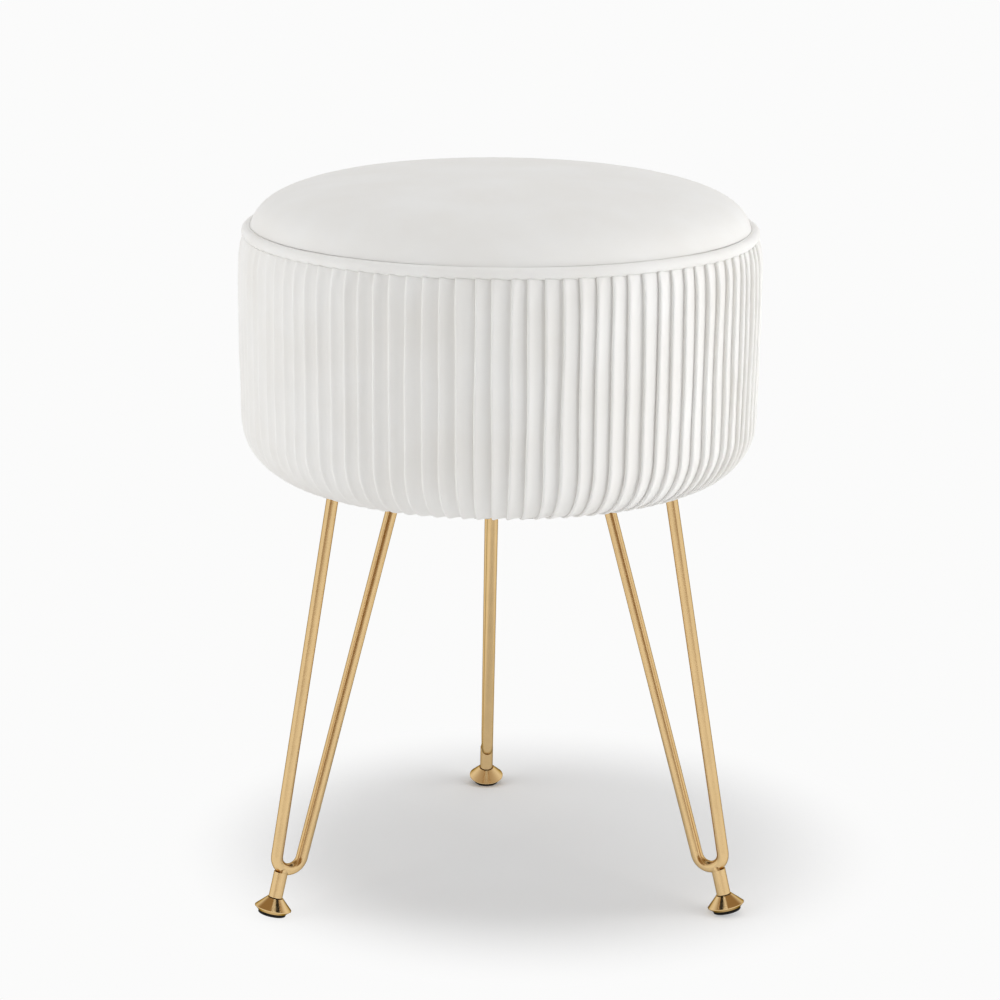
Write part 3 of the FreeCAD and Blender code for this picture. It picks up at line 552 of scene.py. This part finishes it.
def make_dust_cover():
    """Thin cloth stapled flat under the drum, slightly rippled between its staples."""
    steps, rings = 288, 44
    angles = np.linspace(0, math.tau, steps, endpoint=False)
    radii = np.linspace(0.02, DUST_RADIUS, rings)
    layers = []
    for thickness in (0.0, DUST_THICKNESS):
        for radius in radii:
            ripple = DUST_RIPPLE * (1 + waves(angles, radius, count=6, around=60.0, up=45.0, seed=41))
            near_edge = max(0.0, 1 - (DUST_RADIUS - radius) / PUCKER_REACH)
            pucker = DUST_PUCKER * (1 + np.sin(STAPLES * angles)) * near_edge
            height = DUST_HEIGHT + DUST_CLEARANCE + ripple + pucker + thickness
            layers.append(np.stack([radius * np.cos(angles), radius * np.sin(angles), height], axis=-1))
    below, above = layers[:rings], layers[rings:]
    points = np.concatenate(below + above[::-1])
    faces = sheet_faces(2 * rings, steps, wrap_rows=True)
    faces = [tuple(reversed(face)) for face in faces]
    piece = mesh_object("dust_cloth", points, faces)
    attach(piece, ROOT)
    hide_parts("dust_cover")
    return piece


# Materials


def new_material(name):
    material = bpy.data.materials.new(name)
    material.use_nodes = True
    tree = material.node_tree
    return material, tree, tree.nodes["Principled BSDF"]


def noise(tree, scale, detail=2.0, roughness=0.5, stretch=None):
    """Noise in the object's own metres, scale in waves per metre."""
    coordinates = tree.nodes.new("ShaderNodeTexCoord")
    texture = tree.nodes.new("ShaderNodeTexNoise")
    texture.inputs["Scale"].default_value = scale
    texture.inputs["Detail"].default_value = detail
    texture.inputs["Roughness"].default_value = roughness
    if stretch:
        mapping = tree.nodes.new("ShaderNodeMapping")
        mapping.inputs["Scale"].default_value = stretch
        tree.links.new(coordinates.outputs["Object"], mapping.inputs["Vector"])
        tree.links.new(mapping.outputs["Vector"], texture.inputs["Vector"])
    else:
        tree.links.new(coordinates.outputs["Object"], texture.inputs["Vector"])
    return texture.outputs["Fac"]


# Most of a noise lies between these values
NOISE_SPAN = (0.3, 0.7)


def blend_colour(tree, factor, first, second, span=NOISE_SPAN):
    ramp = tree.nodes.new("ShaderNodeValToRGB")
    for element, position, colour in zip(ramp.color_ramp.elements, span, (first, second)):
        element.position = position
        element.color = (*colour, 1)
    tree.links.new(factor, ramp.inputs["Fac"])
    return ramp.outputs["Color"]


def remapped(tree, value, source, target=(0.0, 1.0), interpolation="LINEAR"):
    """Maps one range of values to another."""
    remap = tree.nodes.new("ShaderNodeMapRange")
    remap.interpolation_type = interpolation
    for end, number in zip(("From Min", "From Max", "To Min", "To Max"), (*source, *target)):
        remap.inputs[end].default_value = number
    tree.links.new(value, remap.inputs["Value"])
    return remap.outputs["Result"]


def add_bump(tree, shader, height, strength, distance, under=None):
    bump = tree.nodes.new("ShaderNodeBump")
    bump.inputs["Strength"].default_value = strength
    bump.inputs["Distance"].default_value = distance
    tree.links.new(height, bump.inputs["Height"])
    if under:
        tree.links.new(under, bump.inputs["Normal"])
    if shader:
        tree.links.new(bump.outputs["Normal"], shader.inputs["Normal"])
    return bump.outputs["Normal"]


def velvet():
    """Off-white short-pile velvet: a soft nap whose shade drifts, and a fine pile."""
    material, tree, shader = new_material("ivory_velvet")
    drift = noise(tree, scale=22.0, detail=3.0)
    colour = blend_colour(tree, drift, (0.83, 0.815, 0.785), (0.86, 0.852, 0.832))
    tree.links.new(colour, shader.inputs["Base Color"])
    shader.inputs["Roughness"].default_value = 0.85
    shader.inputs["Specular IOR Level"].default_value = 0.2
    shader.inputs["Sheen Weight"].default_value = 0.25
    shader.inputs["Sheen Roughness"].default_value = 0.45
    shader.inputs["Sheen Tint"].default_value = (1.0, 0.985, 0.96, 1)
    shader.inputs["Subsurface Weight"].default_value = 0.15
    shader.inputs["Subsurface Radius"].default_value = (1.0, 0.97, 0.92)
    shader.inputs["Subsurface Scale"].default_value = 0.003
    nap = add_bump(tree, None, noise(tree, scale=90.0), strength=0.25, distance=0.0006)
    add_bump(tree, shader, noise(tree, scale=1800.0), strength=0.3, distance=0.00015, under=nap)
    return material


GOLD = (0.80, 0.57, 0.29)
GOLD_EDGE = (0.22, 0.16, 0.08)
GOLD_SHADE = 0.94


def gold(name, roughness, vary, grain):
    """Gold plating on steel, with fine polishing marks and a slightly uneven gloss."""
    material, tree, shader = new_material(name)
    shade = tuple(channel * GOLD_SHADE for channel in GOLD)
    colour = blend_colour(tree, noise(tree, scale=60.0, detail=3.0), shade, GOLD)
    tree.links.new(colour, shader.inputs["Base Color"])
    shader.inputs["Metallic"].default_value = 1.0
    shader.inputs["Specular Tint"].default_value = (*GOLD_EDGE, 1)
    gloss = noise(tree, scale=350.0, detail=3.0)
    gloss = remapped(tree, gloss, NOISE_SPAN, (roughness - vary, roughness + vary))
    tree.links.new(gloss, shader.inputs["Roughness"])
    marks = noise(tree, scale=900.0, detail=3.0, roughness=0.6, stretch=(1.0, 1.0, 0.08))
    add_bump(tree, shader, marks, strength=grain, distance=0.00006)
    return material


def rubber():
    material, tree, shader = new_material("black_rubber")
    cloud = noise(tree, scale=500.0, detail=4.0)
    colour = blend_colour(tree, cloud, (0.006, 0.005, 0.004), (0.014, 0.012, 0.010))
    tree.links.new(colour, shader.inputs["Base Color"])
    shader.inputs["Roughness"].default_value = 0.7
    shader.inputs["Specular IOR Level"].default_value = 0.12
    add_bump(tree, shader, noise(tree, scale=1600.0), strength=0.3, distance=0.0001)
    return material


def plain_cloth(name, dark, light, scale, roughness):
    """Non-woven cloth or foam: a fine random texture."""
    material, tree, shader = new_material(name)
    colour = blend_colour(tree, noise(tree, scale, detail=5.0, roughness=0.65), dark, light)
    tree.links.new(colour, shader.inputs["Base Color"])
    shader.inputs["Roughness"].default_value = roughness
    fibres = noise(tree, scale * 2, detail=4.0, roughness=0.7)
    add_bump(tree, shader, fibres, strength=0.5, distance=0.0003)
    return material


def wooden(name, dark, light, stretch=(1.0, 1.0, 1.0), scale=35.0):
    material, tree, shader = new_material(name)
    grain = noise(tree, scale, detail=6.0, roughness=0.6, stretch=stretch)
    tree.links.new(blend_colour(tree, grain, dark, light, (0.35, 0.65)), shader.inputs["Base Color"])
    shader.inputs["Roughness"].default_value = 0.6
    add_bump(tree, shader, grain, strength=0.3, distance=0.0003)
    return material


def steel(name, dark, light, roughness, metallic=1.0):
    material, tree, shader = new_material(name)
    colour = blend_colour(tree, noise(tree, scale=220.0, detail=4.0), dark, light)
    tree.links.new(colour, shader.inputs["Base Color"])
    shader.inputs["Metallic"].default_value = metallic
    gloss = noise(tree, scale=500.0, detail=3.0)
    gloss = remapped(tree, gloss, NOISE_SPAN, (roughness - 0.06, roughness + 0.08))
    tree.links.new(gloss, shader.inputs["Roughness"])
    add_bump(tree, shader, noise(tree, scale=1200.0), strength=0.15, distance=0.00005)
    return material


def paint(piece, material):
    piece.data.materials.clear()
    piece.data.materials.append(material)


looks = {
    "velvet": velvet(),
    "foam": plain_cloth("cream_foam", (0.62, 0.55, 0.36), (0.78, 0.71, 0.50), scale=260.0, roughness=0.95),
    "plywood": wooden("plywood", (0.50, 0.34, 0.18), (0.66, 0.49, 0.29), stretch=(1.0, 0.12, 1.0)),
    "hardboard": wooden("hardboard", (0.13, 0.07, 0.035), (0.21, 0.12, 0.06), scale=400.0),
    "pine": wooden("pine", (0.56, 0.38, 0.20), (0.74, 0.55, 0.32), stretch=(1.0, 1.0, 0.08)),
    "zinc_steel": steel("zinc_steel", (0.50, 0.50, 0.48), (0.68, 0.68, 0.66), roughness=0.34),
    "black_steel": steel(
        "black_steel", (0.012, 0.012, 0.012), (0.035, 0.034, 0.033), roughness=0.45, metallic=0.6
    ),
    "non_woven": plain_cloth(
        "black_non_woven", (0.008, 0.008, 0.009), (0.030, 0.030, 0.032), scale=900.0, roughness=0.92
    ),
    "satin_gold": gold("satin_gold", roughness=0.24, vary=0.03, grain=0.12),
    "polished_gold": gold("polished_gold", roughness=0.09, vary=0.015, grain=0.03),
    "black_rubber": rubber(),
}

pieces = {
    "velvet": [make_pleated_cover(), make_crown(), make_cord()],
    "satin_gold": [make_stem_weld(number) for number in LEGS]
    + [make_plate_weld(number, side) for number in LEGS for side in ROD_TOPS],
    "black_steel": [make_leg_screws(number) for number in LEGS],
    "zinc_steel": [make_stud(number) for number in LEGS],
    "non_woven": [make_dust_cover()],
}
for slot, made in pieces.items():
    for piece in made:
        paint(piece, looks[slot])
for part in frame["record"]["subparts"]:
    paint(nodes[part["node"]], looks[part["material_slot"]])


# Floor, light and camera


def emission(tree, colour):
    glow = tree.nodes.new("ShaderNodeEmission")
    glow.inputs["Color"].default_value = (*colour, 1)
    return glow.outputs["Emission"]


def mixed(tree, factor, first, second):
    mix = tree.nodes.new("ShaderNodeMixShader")
    tree.links.new(factor, mix.inputs["Fac"])
    tree.links.new(first, mix.inputs[1])
    tree.links.new(second, mix.inputs[2])
    return mix.outputs["Shader"]


def math_node(tree, operation, first, second):
    node = tree.nodes.new("ShaderNodeMath")
    node.operation = operation
    tree.links.new(first, node.inputs[0])
    tree.links.new(second, node.inputs[1])
    return node.outputs["Value"]


def seen_directly(tree):
    """1 for camera, glossy and transmission rays, 0 for the rays that carry diffuse light."""
    path = tree.nodes.new("ShaderNodeLightPath")
    seen = math_node(tree, "MAXIMUM", path.outputs["Is Camera Ray"], path.outputs["Is Glossy Ray"])
    return math_node(tree, "MAXIMUM", seen, path.outputs["Is Transmission Ray"])


def panel(name, width, height):
    """Flat rectangle, in metres."""
    mesh = bpy.data.meshes.new(name)
    x, y = width / 2, height / 2
    mesh.from_pydata([(-x, -y, 0), (x, -y, 0), (x, y, 0), (-x, y, 0)], [], [(0, 1, 2, 3)])
    piece = bpy.data.objects.new(name, mesh)
    bpy.context.scene.collection.objects.link(piece)
    return piece


BACKDROP = (0.965, 0.965, 0.963)
FLOOR_SIZE = 18.0
SHADOW_MIDDLE = (0.03, 0.05, 0.0)
# The floor passes into the backdrop between these distances from the shadow's middle, in metres
FLOOR_FADE = (0.13, 0.26)


def make_floor():
    """Pale floor that keeps the shadow and passes into the white backdrop further out."""
    floor = panel("floor", FLOOR_SIZE, FLOOR_SIZE)
    material, tree, shader = new_material("pale_floor")
    shader.inputs["Base Color"].default_value = (0.90, 0.90, 0.898, 1)
    shader.inputs["Roughness"].default_value = 0.9
    shader.inputs["Specular IOR Level"].default_value = 0.1
    place = tree.nodes.new("ShaderNodeTexCoord")
    length = tree.nodes.new("ShaderNodeVectorMath")
    length.operation = "DISTANCE"
    length.inputs[1].default_value = SHADOW_MIDDLE
    tree.links.new(place.outputs["Object"], length.inputs[0])
    reach = remapped(tree, length.outputs["Value"], FLOOR_FADE, interpolation="SMOOTHSTEP")
    factor = math_node(tree, "MULTIPLY", reach, seen_directly(tree))
    surface = mixed(tree, factor, shader.outputs["BSDF"], emission(tree, BACKDROP))
    tree.links.new(surface, tree.nodes["Material Output"].inputs["Surface"])
    floor.data.materials.append(material)


# Strength of the diffuse light from the camera's side and from the rest of the room
FILL_FRONT = 0.20
FILL_SIDE = 0.62
# The one passes into the other between these values of a direction's Y
ROOM_FADE = (-1.0, -0.2)
# What shows overhead in reflections, and the values of a direction's Z between which it sets in
CEILING = (0.34, 0.24, 0.13)
CEILING_FADE = (0.35, 0.8)


def background(tree, colour):
    node = tree.nodes.new("ShaderNodeBackground")
    node.inputs["Color"].default_value = (*colour, 1)
    return node


def make_world():
    """White to the eye, with a brown ceiling in reflections; diffuse light is grey, dimmer from the front."""
    world = bpy.data.worlds.new("studio")
    bpy.context.scene.world = world
    world.use_nodes = True
    tree = world.node_tree
    tree.nodes.clear()
    output = tree.nodes.new("ShaderNodeOutputWorld")
    direction = tree.nodes.new("ShaderNodeTexCoord")
    parts = tree.nodes.new("ShaderNodeSeparateXYZ")
    tree.links.new(direction.outputs["Generated"], parts.inputs["Vector"])
    room = remapped(tree, parts.outputs["Y"], ROOM_FADE, (FILL_FRONT, FILL_SIDE), "SMOOTHSTEP")
    fill = background(tree, (0.985, 0.99, 1.0))
    tree.links.new(room, fill.inputs["Strength"])
    white = background(tree, BACKDROP)
    ceiling = background(tree, CEILING)
    overhead = remapped(tree, parts.outputs["Z"], CEILING_FADE, interpolation="SMOOTHSTEP")
    path = tree.nodes.new("ShaderNodeLightPath")
    reflected = math_node(tree, "MULTIPLY", overhead, path.outputs["Is Glossy Ray"])
    seen = mixed(tree, reflected, white.outputs["Background"], ceiling.outputs["Background"])
    surface = mixed(tree, seen_directly(tree), fill.outputs["Background"], seen)
    tree.links.new(surface, output.inputs["Surface"])


def aimed(location, target):
    """Rotation that points an object's -Z at a target with its Y upwards."""
    away = Vector(target) - Vector(location)
    return away.to_track_quat("-Z", "Y").to_euler()


def area_light(name, location, target, width, height, radiance):
    """Softbox given by how bright its face is; it doesn't show in reflections."""
    lamp = bpy.data.lights.new(name, "AREA")
    lamp.shape = "RECTANGLE"
    lamp.size = width
    lamp.size_y = height
    lamp.energy = radiance * math.pi * width * height
    light = bpy.data.objects.new(name, lamp)
    light.location = location
    light.rotation_euler = aimed(location, target)
    light.visible_camera = False
    light.visible_glossy = False
    bpy.context.scene.collection.objects.link(light)


def dark_card(name, location, target, width, height, colour):
    """Dim brown side of the room behind the camera, which shows only in reflections."""
    card = panel(name, width, height)
    card.location = location
    card.rotation_euler = aimed(location, target)
    card.visible_camera = False
    card.visible_diffuse = False
    card.visible_shadow = False
    material, tree, _ = new_material(name)
    tree.links.new(emission(tree, colour), tree.nodes["Material Output"].inputs["Surface"])
    card.data.materials.append(material)


make_floor()
make_world()
SEAT = (0, 0, 0.3)
area_light("right_softbox", (1.78, -0.66, 0.80), SEAT, width=1.9, height=1.8, radiance=2.1)
area_light("left_softbox", (-1.80, -0.55, 0.90), SEAT, width=1.9, height=1.8, radiance=1.4)
area_light("top_softbox", (0.1, 0.1, 2.5), SEAT, width=1.2, height=1.2, radiance=1.2)
area_light("floor_bounce", (-0.1, -1.1, 0.05), (0, 0, 0.5), width=2.4, height=1.0, radiance=0.4)
dark_card("dark_side", (-0.25, -3.2, 0.8), SEAT, width=4.8, height=2.8, colour=(0.27, 0.15, 0.045))

# Camera: where the photograph's piping, rods and feet put it; the legs stand turned by LEG_TURN to it
LEG_TURN = math.radians(2.379)
CAMERA_REACH = 2.0339
CAMERA_HEIGHT = 0.7871
CAMERA_PITCH = 0.25072
CAMERA_YAW = 0.00056
CAMERA_ROLL = 0.00897
SENSOR = 36.0
FOCAL_PIXELS = 3082.2
FRAME_PIXELS = 1000


def make_camera():
    heading = CAMERA_YAW + LEG_TURN
    level = math.cos(CAMERA_PITCH)
    forward = Vector((math.sin(heading) * level, math.cos(heading) * level, -math.sin(CAMERA_PITCH)))
    right = Vector((math.cos(heading), -math.sin(heading), 0))
    up = right.cross(forward)
    across = math.cos(CAMERA_ROLL) * right + math.sin(CAMERA_ROLL) * up
    upward = -math.sin(CAMERA_ROLL) * right + math.cos(CAMERA_ROLL) * up
    camera = bpy.data.cameras.new("camera")
    camera.sensor_width = SENSOR
    camera.lens = FOCAL_PIXELS * SENSOR / FRAME_PIXELS
    camera.clip_end = 50.0
    eye = bpy.data.objects.new("camera", camera)
    turn = Matrix((across, upward, -forward)).transposed().to_4x4()
    away = (-CAMERA_REACH * math.sin(LEG_TURN), -CAMERA_REACH * math.cos(LEG_TURN))
    place = Vector((*away, CAMERA_HEIGHT))
    eye.matrix_world = Matrix.Translation(place) @ turn
    bpy.context.scene.collection.objects.link(eye)
    bpy.context.scene.camera = eye


make_camera()
bpy.context.scene.view_settings.view_transform = "Standard"
